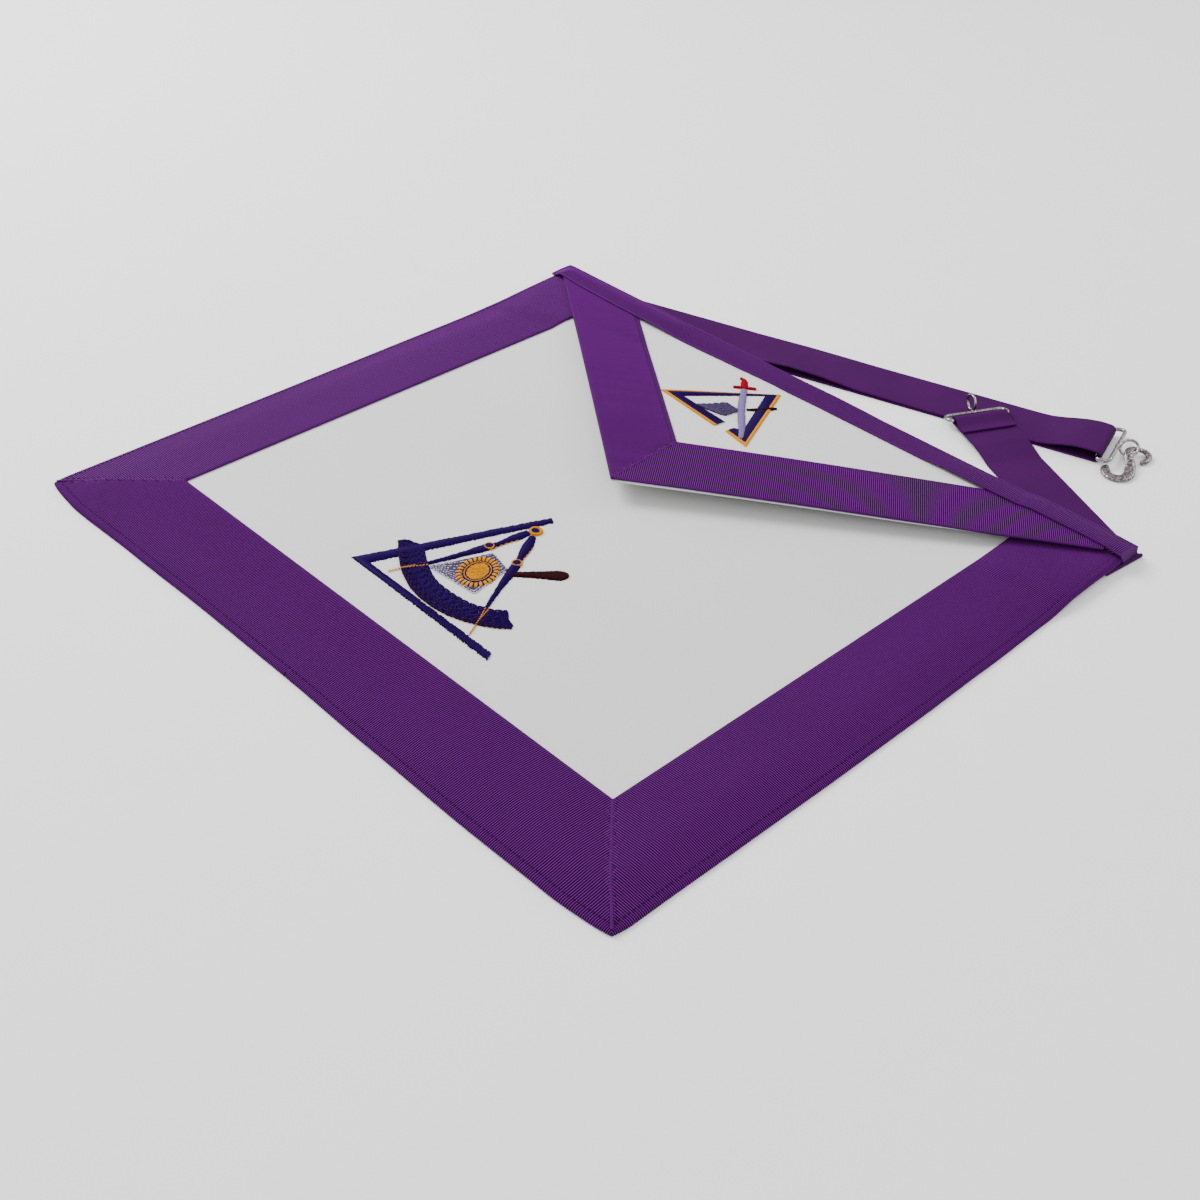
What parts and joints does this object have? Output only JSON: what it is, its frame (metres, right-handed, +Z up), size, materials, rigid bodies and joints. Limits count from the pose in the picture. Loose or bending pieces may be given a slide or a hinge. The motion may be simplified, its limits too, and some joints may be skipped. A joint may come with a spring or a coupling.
{
  "type": "masonic apron",
  "caption": "White leather ceremonial apron with ribbed purple ribbon borders, a pointed flap, a webbing waist strap with a snake hook, and a short strap with an eye loop.",
  "frame": {"origin": "middle of the whole part's box, on the surface that the apron lies on", "axes": "+Z up from the surface, +Y from the apron's bottom edge toward its top edge, +X along the top edge toward the short strap's corner"},
  "size_m": [0.4044, 0.459, 0.0161],
  "materials": {
    "white_leather": "smooth white lambskin, soft sheen",
    "purple_ribbon": "ribbed grosgrain with smooth selvedges",
    "purple_webbing": "fine plain webbing",
    "nickel": "bright nickel plate"
  },
  "bodies": {
    "root": {"apron_panel": "white_leather", "ribbon_left": "purple_ribbon", "ribbon_bottom": "purple_ribbon", "ribbon_right": "purple_ribbon", "flap_panel": "white_leather", "flap_ribbon_left": "purple_ribbon", "flap_ribbon_right": "purple_ribbon", "top_binding": "purple_ribbon", "long_strap": "purple_webbing", "short_strap": "purple_webbing", "eye_loop": "nickel", "hook_loop": "nickel", "snake_hook": "nickel"}
  },
  "joints": []
}
